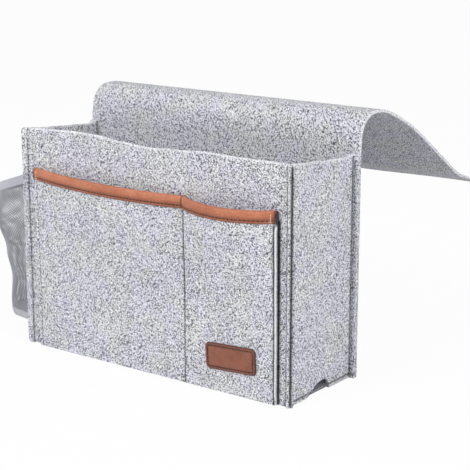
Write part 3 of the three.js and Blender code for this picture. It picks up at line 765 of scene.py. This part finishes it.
def pocket_back(x, z):
    """The face of the pockets' felt that lies against the front, in y."""
    rise = smooth((z - POCKET_FLAT_HEIGHT) / (mouth(x) - POCKET_FLAT_HEIGHT))
    bulge = (WIDE_BULGE if x < DIVIDER else NARROW_BULGE) * openness(x)
    return -HALF_DEPTH - GAP - (MOUTH_OFF_FRONT + bulge) * rise


def seam_pull(p):
    """How far the pocket's face is drawn in beside its rows of stitches."""
    below_mouth = smooth((pocket_height(p.x) - 6 - p.z) / 8)
    left, divider, right = (p.x - seam for seam in POCKET_SEAMS)
    rows = 0.5 * hump(left, 1.3) + hump(divider, 1.8) + hump(right, 1.3)
    return 1.1 * rows * below_mouth + 0.5 * hump(p.z - BASE_ROW, 1.4) * (p.z > 1.2)


def edge_curl(x, z):
    """How far the cut edges beside the outer rows of stitches stand off the front."""
    between_ends = smooth(z / 14) * smooth((mouth(x) - 13 - z) / 8)
    right = smooth((x - POCKET_SEAMS[2] - 0.3) / 2.7)
    left = smooth((POCKET_SEAMS[0] - 0.3 - x) / 2.7)
    uneven = 0.25 * math.sin(z / 13) + 0.15 * math.sin(z / 5.3)
    return between_ends * ((1.7 + uneven) * right + 0.5 * left)


def pocket_felt():
    across = spaced_past(POCKET_LEFT, POCKET_RIGHT, 5, POCKET_SEAMS)
    rows = [0, 0.006, 0.014, 0.022, 0.03, *spaced(0.045, 1, 0.024)]

    def place(x, share):
        z = share * mouth(x)
        return (x, pocket_back(x, z) - FELT - ripple(x, z) - edge_curl(x, z), z)

    sheet = grid(across, rows, place)
    thicken(sheet, FELT)
    round_edges(sheet, width=0.6)
    press_in(sheet, (0, -1, 0), seam_pull)
    piece = make("pocket_felt", sheet, FELT_GREY, ["front_pocket_panel"])

    # Painted shade: in the grooves beside the rows of stitches, at the pocket's ends under the binding, and
    # on the back of the curled right edge.
    def painted_shade_at(at):
        back = pocket_back(at.x, at.z)
        below_mouth = smooth((pocket_height(at.x) - 8 - at.z) / 4)
        strengths = zip(POCKET_SEAMS, (0.1, 0.8, 1))
        beside_rows = sum(strength * hump(at.x - seam, 0.75) for seam, strength in strengths)
        bound_end = smooth((abs(at.x - POCKET_MIDDLE) - 150.7) / 0.3) * (at.z > mouth(at.x) - 9)
        at_back = at.y > back - 1.2 - edge_curl(at.x, at.z)
        under_edge = smooth((at.x - POCKET_RIGHT + 0.9) / 0.3) * at_back
        return beside_rows * below_mouth * (at.y < back - 1) + bound_end + 0.8 * under_edge

    # Painted highlight on the front half of the curled right cut edge.
    def cut_edge_highlight(at):
        in_front = at.y < pocket_back(at.x, at.z) - FELT / 2 - edge_curl(at.x, at.z)
        at_edge = smooth((at.x - POCKET_RIGHT + 0.5) / 0.3)
        return 0.85 * at_edge * smooth((mouth(at.x) - 10 - at.z) / 2) * in_front

    mark(piece, "cut_edge_highlight", cut_edge_highlight)
    return mark(piece, "painted_shade", painted_shade_at)


def binding_face(x, z):
    return pocket_back(x, z) - FELT / 2 - BINDING_OUTSIDE


def binding():
    """Leather folded over the pockets' mouth: up the outside, round the top and down the inside."""
    across = spaced_past(POCKET_LEFT, POCKET_RIGHT, 4, (DIVIDER,))
    rows = [("out", t) for t in (0, 0.07, 0.14, 0.2, 0.27, 0.36, 0.5, 0.64, 0.78, 0.9, 1)]
    rows += [("turn", math.radians(a)) for a in (15, 35, 55, 75, 90, 105, 125, 145, 165)]
    rows += [("in", t) for t in (0, 0.2, 0.4, 0.6, 0.8, 0.92, 1)]

    def place(x, row):
        top = mouth(x)
        kind, value = row
        if kind == "turn":
            y = pocket_back(x, top) - FELT / 2 - BINDING_OUTSIDE * math.cos(value)
            return (x, y, top + BINDING_OUTSIDE * math.sin(value))
        if kind == "out":
            z = top - (BINDING_HEIGHT - BINDING_OUTSIDE) * (1 - value)
            dip = 0.4 * hump(z - (top - BINDING_HEIGHT + BINDING_OUTSIDE + 2.5), 0.9)
            puff = 0.5 * math.sin(math.pi * smooth((value - 0.3) / 0.7))
            return (x, binding_face(x, z) + dip - puff, z)
        z = top - (BINDING_HEIGHT_INSIDE - BINDING_OUTSIDE) * value
        return (x, pocket_back(x, z) - FELT / 2 + BINDING_OUTSIDE, z)

    sheet = grid(across, rows, place)
    thicken(sheet, LEATHER)
    round_edges(sheet, width=0.3)
    piece = make("leather_binding", sheet, TAN_LEATHER, ["pocket_binding"])

    # Darker at the cut ends and along the foot edge, and painted shade along the groove of the stitch row,
    # over the lower part of the outer face and in the kink at the divider.
    def burnish_and_shade(at):
        below = mouth(at.x) + BINDING_OUTSIDE - at.z
        row = 0.5 * hump(below - 9.5, 0.8)
        lower = 0.3 * smooth((below - 4) / 4) + 0.9 * smooth((below - 11.2) / 0.7)
        ends = 0.9 * hump(at.x - POCKET_LEFT, 0.8) + 0.9 * hump(at.x - POCKET_RIGHT, 0.8)
        return row + lower + ends + 0.8 * hump(at.x - DIVIDER, 1.1)

    return mark(piece, "burnish_and_shade", burnish_and_shade)


# Stitches: each one a small rounded thread that dips into the cloth at both ends. A stitch is given as
# its middle, the way it runs and the way that the cloth faces, and its size as length, width and height.

SEAM_STITCH = (2.6, 1.0, 0.8)
POCKET_STITCH = (2.6, 1.1, 0.8)
BINDING_STITCH = (2.6, 1.3, 0.9)
TACK_STITCH = (1.55, 0.95, 0.9)
BADGE_STITCH = (3.1, 1.0, 0.8)
STITCH_PITCH = 4
BINDING_PITCH = 4.1
BINDING_ROW_INSET = 6.6
POCKET_ROW_INSIDE = (9.8, 181.5)
NET_ROW = 45.1
NET_ROW_ENDS = (26.1, 170.9)
TACK_INSET = 4.7
LONG_TACK = 8.5
SHORT_TACK = 5.5
FRONT_CORNER_ROW = (161.788 + 0.2 * DIAGONAL, -52 - 5.8 * DIAGONAL)
SIDE_CORNER_ROW = (162 + 6 * DIAGONAL, -51.788)
REAR_CORNER_ROW = 167.5
CORNER_ROW_TOP = 219.3
BACK_ROW = 54.9
SIDE_ROW = HALF_WIDTH - 0.55


def sew(name, stitches, size, material, node):
    row = bmesh.new()
    length, width, height = size
    for middle, along, facing in stitches:
        along, facing = Vector(along).normalized(), Vector(facing).normalized()
        across = facing.cross(along)
        turn = Matrix((across * width / 2, facing * height / 2, along * length / 2)).transposed().to_4x4()
        bmesh.ops.create_uvsphere(row, u_segments=8, v_segments=5, radius=1,
                                  matrix=Matrix.Translation(middle) @ turn)
    return make(name, row, material, [node], smooth_below=80)


def sew_seam(name, node, start, end, facing):
    """A straight row of grey stitches."""
    start, end = Vector(start), Vector(end)
    along = end - start
    count = max(2, round(along.length / STITCH_PITCH))
    row = [(start + along * ((i + 0.5) / count), along, facing) for i in range(count)]
    return sew(name, row, SEAM_STITCH, SHADED_GREY_THREAD, node)


def sew_box_seams():
    for side, sign in (("left", -1), ("right", 1)):
        rows = {
            f"front_{side}_corner_seam": (*FRONT_CORNER_ROW, (-sign, -1, 0)),
            f"front_{side}_corner_seam_under": (*SIDE_CORNER_ROW, (sign, 1, 0)),
            f"back_{side}_corner_seam": (REAR_CORNER_ROW, REAR_FLANGE, (0, -1, 0)),
            f"back_{side}_corner_seam_under": (REAR_CORNER_ROW, BACK_ROW, (0, 1, 0)),
        }
        for node, (x, y, facing) in rows.items():
            low, high = (sign * x, y, BASE_ROW), (sign * x, y, CORNER_ROW_TOP)
            sew_seam(node.replace("seam", "stitches"), node, low, high, facing)
    hem_x, hem_y = HEM_X - FELT, HEM_Y - FELT
    end = hem_y - 0.8
    sides = (("left_base_seam", -1, -end, end), ("right_base_seam_front", 1, -end, NOTCH_FRONT),
             ("right_base_seam_rear", 1, NOTCH_REAR + 0.8, end))
    for node, sign, first, last in sides:
        name = node.replace("seam", "stitches")
        x, z = sign * SIDE_ROW, BASE_ROW
        sew_seam(name, node, (x, first, z), (x, last, z), (sign, 0, 0))
        x, z = sign * hem_x, BASE_ROW_INSIDE
        sew_seam(name + "_under", node + "_under", (x, first, z), (x, last, z), (-sign, 0, 0))
    end = hem_x - 0.8
    rows = (("front_base_seam", -hem_y, BASE_ROW_INSIDE, 1), ("back_base_seam", BACK_ROW, BASE_ROW, 1),
            ("back_base_seam_under", hem_y, BASE_ROW_INSIDE, -1))
    for node, y, z, facing in rows:
        sew_seam(node.replace("seam", "stitches"), node, (-end, y, z), (end, y, z), (0, facing, 0))


def sew_pocket_seams():
    for side, x in zip(("left", "divider", "right"), POCKET_SEAMS):
        node = f"pocket_{side}_seam"
        name = f"pocket_{side}_stitches"
        top = mouth(x) + BINDING_OUTSIDE - BINDING_HEIGHT - 0.8
        sunk = 0.35 if side == "left" else 0.75
        row = []
        for z in spaced(2.6, top - 2, STITCH_PITCH):
            low, high = (Vector((x, pocket_back(x, h) - FELT + sunk, h)) for h in (z - 1, z + 1))
            row.append(((low + high) / 2, high - low, (0, -1, 0)))
        sew(name, row, POCKET_STITCH, SHADED_GREY_THREAD, node)
        low, high = ((x, FELT - HALF_DEPTH, z) for z in POCKET_ROW_INSIDE)
        sew_seam(name + "_under", node + "_under", low, high, (0, 1, 0))


def sew_binding():
    row = []
    for x in spaced(POCKET_LEFT + BINDING_ROW_INSET, POCKET_RIGHT - BINDING_ROW_INSET, BINDING_PITCH):
        if abs(x - DIVIDER) < 1.6:
            continue
        ends = []
        for end in (x - 1, x + 1):
            z = mouth(end) - BINDING_ROW
            ends.append(Vector((end, binding_face(end, z) + 0.22, z)))
        row.append(((ends[0] + ends[1]) / 2, ends[1] - ends[0], (0, -1, 0)))
    sew("binding_stitching", row, BINDING_STITCH, BROWN_THREAD, "binding_stitches")


def sew_tack(name, node, x, length):
    """A bar tack: two upright rows of short stitches, side by side."""
    top = mouth(x)
    face = min(binding_face(x, top - length * share) for share in (0, 0.5, 1)) + 0.05
    row = []
    count = round(length / 2.1)
    for number in range(count):
        z = top - length + (number + 0.5) * length / count
        row += [((x + beside, face, z), (0, 0, 1), (0, -1, 0)) for beside in (-0.95, 0.95)]
    sew(name, row, TACK_STITCH, CREAM_THREAD, node)


# Badge: a plate with a padded middle, flat before it is turned upright

BADGE_PLACE = (Matrix.Translation(Vector((100, -58.3 - GAP, 36)))
               @ Matrix.Rotation(math.radians(-3), 4, "Y") @ Matrix.Rotation(math.radians(90), 4, "X"))
BADGE_RINGS = ((0.25, 0.4), (0.35, 0.25), (0.6, 0.12), (1.0, 0.02), (0.4, -0.18), (0.3, -0.1), (0.3, 0.0),
               (0.3, 0.12), (0.4, 0.18), (0.6, 0.1))
BADGE_PADDING = ((0.85, 0.12), (0.7, 0.06), (0.5, 0.02))


def badge():
    plate = bmesh.new()
    bmesh.ops.create_circle(plate, cap_ends=True, segments=32, radius=BADGE_CORNER,
                            matrix=Matrix.Rotation(math.radians(360 / 64), 4, "Z"))
    straight_x, straight_y = BADGE_HALF_LENGTH - BADGE_CORNER, BADGE_HALF_HEIGHT - BADGE_CORNER
    for point in plate.verts:
        point.co += Vector((math.copysign(straight_x, point.co.x), math.copysign(straight_y, point.co.y), 0))

    def raised(faces):
        walls = bmesh.ops.extrude_face_region(plate, geom=faces)
        return next(g for g in walls["geom"] if isinstance(g, bmesh.types.BMFace))

    top = raised(plate.faces[:])
    bmesh.ops.translate(plate, verts=top.verts[:], vec=(0, 0, BADGE_PLATE))
    for inset, rise in BADGE_RINGS:
        bmesh.ops.inset_region(plate, faces=[top], thickness=inset, use_even_offset=True, use_boundary=True)
        bmesh.ops.translate(plate, verts=top.verts[:], vec=(0, 0, rise))
    for share, rise in BADGE_PADDING:
        under, top = top, raised([top])
        bmesh.ops.delete(plate, geom=[under], context="FACES_ONLY")
        bmesh.ops.scale(plate, verts=top.verts[:], vec=(share, share, 1))
        bmesh.ops.translate(plate, verts=top.verts[:], vec=(0, 0, rise))
    bmesh.ops.poke(plate, faces=[top])
    bmesh.ops.recalc_face_normals(plate, faces=plate.faces[:])
    bmesh.ops.transform(plate, matrix=BADGE_PLACE, verts=plate.verts)
    piece = make("leather_badge", plate, BROWN_LEATHER, ["badge"], smooth_below=60)
    back = BADGE_PLACE.inverted()

    # The badge's own dark rim, and painted shade in the groove of its stitch row.
    def burnish_and_shade(at):
        flat = back @ at
        dx, dy = max(abs(flat.x) - straight_x, 0), max(abs(flat.y) - straight_y, 0)
        inward = min(BADGE_HALF_LENGTH - abs(flat.x), BADGE_HALF_HEIGHT - abs(flat.y))
        if dx and dy:
            inward = BADGE_CORNER - math.hypot(dx, dy)
        return 0.95 * smooth((1.5 - inward) / 0.9) + 0.9 * hump(inward - BADGE_ROW_INSET, 0.75)

    return mark(piece, "burnish_and_shade", burnish_and_shade)


def badge_row():
    """The badge's stitches, on a rounded rectangle inside its edge."""
    half_long, half_high = BADGE_HALF_LENGTH - BADGE_ROW_INSET, BADGE_HALF_HEIGHT - BADGE_ROW_INSET
    corner, height, count = 2.4, 1.38, 34
    quarter = corner * math.pi / 2
    runs = [2 * (half_high - corner), quarter, 2 * (half_long - corner), quarter] * 2

    def on_row(distance):
        left = distance % sum(runs)
        at, heading = Vector((half_long, -half_high + corner)), math.pi / 2
        for index, run in enumerate(runs):
            part = min(left, run)
            if index % 2:
                before, heading = heading, heading + part / corner
                at.x += corner * (math.sin(heading) - math.sin(before))
                at.y += corner * (math.cos(before) - math.cos(heading))
            else:
                at += part * Vector((math.cos(heading), math.sin(heading)))
            left -= part
            if left <= 0:
                break
        return Vector((at.x, at.y, height))

    turn = BADGE_PLACE.to_3x3()
    row = []
    for number in range(count):
        middle = (number + 0.5) / count * sum(runs)
        start, end = on_row(middle - 0.5), on_row(middle + 0.5)
        row.append((BADGE_PLACE @ ((start + end) / 2), turn @ (end - start), turn @ Vector((0, 0, 1))))
    sew("badge_stitching", row, BADGE_STITCH, BROWN_THREAD, "badge_stitches")


# Net pocket

def net_top(x):
    return NET_TOP - NET_TOP_DROP * (-x - HALF_WIDTH) / NET_REACH


def net_foot(x):
    return NET_FOOT - NET_FOOT_DROP * (-x - HALF_WIDTH) / NET_REACH


def net_line(z, clear):
    """The net in plan at one height, as points from the front seam round to the rear one."""
    start = Vector((NET_FLAT - clear, -NET_ANCHOR))
    leave = Vector((NET_FLAT - clear, -NET_ANCHOR + 5 - clear))
    radius = NET_RADIUS * curve_through(NET_GIRTH, (z - NET_LOWEST) / (NET_MOUTH - NET_LOWEST)) + clear
    centre = Vector((NET_MIDDLE, 0))
    reach = leave - centre
    tangent = (math.atan2(reach.y, reach.x) - math.acos(radius / reach.length)) % (2 * math.pi)
    sweep = 2 * (tangent - math.pi)
    turn = [tangent - sweep * t for t in spaced(0, 0.5, 0.02)]
    half = [start, leave, *(centre + radius * Vector((math.cos(a), math.sin(a))) for a in turn)]
    return half + [Vector((p.x, -p.y)) for p in reversed(half[:-1])]


def net_point(share, z, clear):
    line = net_line(z, clear)
    steps = [(b - a).length for a, b in zip(line, line[1:])]
    left = share * sum(steps)
    for start, end, step in zip(line, line[1:], steps):
        if left <= step:
            return start.lerp(end, left / step)
        left -= step
    return line[-1]


def netting():
    def place(share, row):
        x = net_point(share, NET_MOUTH, 0).x
        low = net_foot(x) + FOOT_BAND - BAND_OVERLAP
        high = net_top(x) - TOP_BAND + BAND_OVERLAP
        z = low + (high - low) * row
        at = net_point(share, z, NET_OFF_LINE)
        return (at.x, at.y, z)

    net = grid(spaced(1, 0, 1 / NET_CELLS_ROUND), spaced(0, 1, 1 / NET_CELLS_UP), place)
    squares = [e for e in net.edges if not e.is_boundary]
    bmesh.ops.poke(net, faces=net.faces[:])
    bmesh.ops.dissolve_edges(net, edges=squares, use_verts=False)
    net.normal_update()
    bmesh.ops.wireframe(net, faces=net.faces[:], thickness=NET_THREAD, offset=0, use_replace=True,
                        use_boundary=True, use_even_offset=True)
    bmesh.ops.recalc_face_normals(net, faces=net.faces[:])
    return make("diamond_netting", net, NET_YARN, ["net_pocket"], smooth_below=30)


def net_hem(name, node, at_top):
    """The cloth band along the net's mouth or its foot, which bellies a little."""
    columns = spaced(1, 0, 1 / 90)
    height = TOP_BAND if at_top else FOOT_BAND
    rows = [0, 0.1, 0.25, 0.5, 0.75, 0.9, 1]

    def place(share, row):
        x = net_point(share, NET_MOUTH, 0).x
        low = net_top(x) - TOP_BAND if at_top else net_foot(x)
        z = low + height * row
        at = net_point(share, z, BAND_OFF_LINE + 0.35 * math.sin(math.pi * row))
        return (at.x, at.y, z)

    band = grid(columns, rows, place)
    mark_cloth(band, [c * NET_LENGTH for c in columns], [r * height for r in rows])
    thicken(band, BAND)
    round_edges(band, width=0.5)
    return make(name, band, BAND_CLOTH, [node])


def net_floor():
    """The cloth that closes the net's foot, hanging a little in its middle."""
    line = [Vector((min(p.x, NET_FLAT), p.y)) for p in net_line(NET_FLOOR - NET_FLOOR_CLOTH, -GAP)]
    columns = [p for p in reversed(line[1:]) if p.y < -3]
    rows = spaced(0, 1, 0.06)

    def place(p, t):
        dip = math.sin(math.pi * t) * smooth((NET_FLAT - p.x) / 20)
        return (p.x, p.y - 2 * p.y * t, NET_FLOOR - dip)

    cloth = grid(columns, rows, place)
    mark_cloth(cloth, [-p.x for p in columns], [r * NET_FLOOR_DEPTH for r in rows])
    bmesh.ops.recalc_face_normals(cloth, faces=cloth.faces[:])
    if cloth.faces[0].normal.z < 0:
        bmesh.ops.reverse_faces(cloth, faces=cloth.faces[:])
    thicken(cloth, NET_FLOOR_CLOTH)
    round_edges(cloth, width=0.3)
    return make("net_floor_cloth", cloth, BAND_CLOTH, ["net_pocket_floor"])


def sew_net():
    for side, y in (("front", -NET_ROW), ("rear", NET_ROW)):
        low, high = ((NET_FLAT - 1, y, z) for z in NET_ROW_ENDS)
        sew_seam(f"net_{side}_stitches", f"net_{side}_seam", low, high, (-1, 0, 0))


# All pieces

front = front_felt()
left_side = side_felt("left_side_felt", -1, "left_side_panel")
right_side = side_felt("right_side_felt", 1, "right_side_panel")
base = base_felt()
back = flap_sheet("back_felt", -BACK_LENGTH, FLAP_CUTS[0], 3.0, FLAP_CUTS[:1], ["back_panel"],
                  ("caddy_body", "flap_riser"), ROOT_BEND)
crown = flap_sheet("flap_crown_felt", *FLAP_CUTS, 2.0, FLAP_CUTS, ["flap_riser"],
                   ("flap_riser", "flap_tail"), CROWN_BEND)
toe = flap_sheet("flap_toe_felt", FLAP_CUTS[1], FLAP_LENGTH, 2.5, FLAP_CUTS[1:], ["flap_tail", "flap_toe"],
                 ("flap_tail", "flap_toe"), TOE_BEND)
pocket = pocket_felt()
trim = binding()
sew_box_seams()
sew_pocket_seams()
sew_binding()
sew_tack("left_tack", "left_bar_tack", POCKET_LEFT + TACK_INSET, LONG_TACK)
sew_tack("middle_tack", "middle_bar_tack", DIVIDER, SHORT_TACK)
sew_tack("right_tack", "right_bar_tack", POCKET_RIGHT - TACK_INSET, LONG_TACK)
badge()
badge_row()
net = netting()
net_top_hem = net_hem("net_top_band", "net_top_hem", True)
net_bottom_hem = net_hem("net_bottom_band", "net_bottom_hem", False)
net_cloth = net_floor()
sew_net()


# Floor and light. The camera and glossy rays see plain white around the caddy.

WHITE = (1, 1, 1, 1)
FLOOR_PAINT = (0.82, 0.82, 0.83, 1)
FLOOR_BRIGHTNESS = 0.95
FLOOR_LEVEL = -0.0005
FLOOR_SIZE = 14
SKY_STRENGTH = 0.5
LAMP_SIZE = 1.4
LAMPS_AIM = Vector((0, 0, 0.12))


class Surroundings(Nodes):
    """The look of the floor or the world: one shader for some rays and another for the rest."""

    def __init__(self, owner):
        super().__init__(owner)
        self.tree.nodes.clear()

    def ray(self, *kinds):
        """1 for rays of these kinds, and 0 for all others."""
        path = self.node("ShaderNodeLightPath")
        share, *others = (path.outputs[f"Is {kind} Ray"] for kind in kinds)
        for other in others:
            share = self.maths("MAXIMUM", share, other)
        return share

    def end(self, kind, share, rest, chosen):
        mixed = self.node("ShaderNodeMixShader", {0: share, 1: rest.outputs[0], 2: chosen.outputs[0]})
        self.node(kind, {"Surface": mixed.outputs[0]})


def floor():
    ground = bmesh.new()
    bmesh.ops.create_grid(ground, x_segments=2, y_segments=2, size=FLOOR_SIZE)
    bmesh.ops.translate(ground, verts=ground.verts[:], vec=(0, 0, FLOOR_LEVEL))
    paint = bpy.data.materials.new("white_floor")
    look = Surroundings(paint)
    share = look.maths("MULTIPLY", look.ray("Camera", "Glossy"), FLOOR_BRIGHTNESS)
    look.end("ShaderNodeOutputMaterial", share, look.node("ShaderNodeBsdfDiffuse", {"Color": FLOOR_PAINT}),
             look.node("ShaderNodeEmission", {"Color": WHITE}))
    piece = new_object("floor", ground, paint)


def daylight():
    world = bpy.data.worlds.new("studio")
    bpy.context.scene.world = world
    look = Surroundings(world)
    look.end("ShaderNodeOutputWorld", look.ray("Camera", "Glossy", "Transmission"),
             look.node("ShaderNodeBackground", {"Color": WHITE, "Strength": SKY_STRENGTH}),
             look.node("ShaderNodeBackground", {"Color": WHITE, "Strength": 1}))


def lamp(name, place, power):
    light = bpy.data.lights.new(name, "AREA")
    light.shape = "SQUARE"
    light.size = LAMP_SIZE
    light.energy = power
    stand = bpy.data.objects.new(name, light)
    stand.location = place
    stand.rotation_euler = (LAMPS_AIM - Vector(place)).to_track_quat("-Z", "Y").to_euler()
    bpy.context.scene.collection.objects.link(stand)


floor()
daylight()
lamp("key_light", (-0.5, -2.0, 1.6), 30)
lamp("side_light", (2.1, -0.6, 1.3), 32)
lamp("fill_light", (-2.1, -0.7, 1.0), 9)

bpy.context.scene.view_settings.view_transform = "Standard"
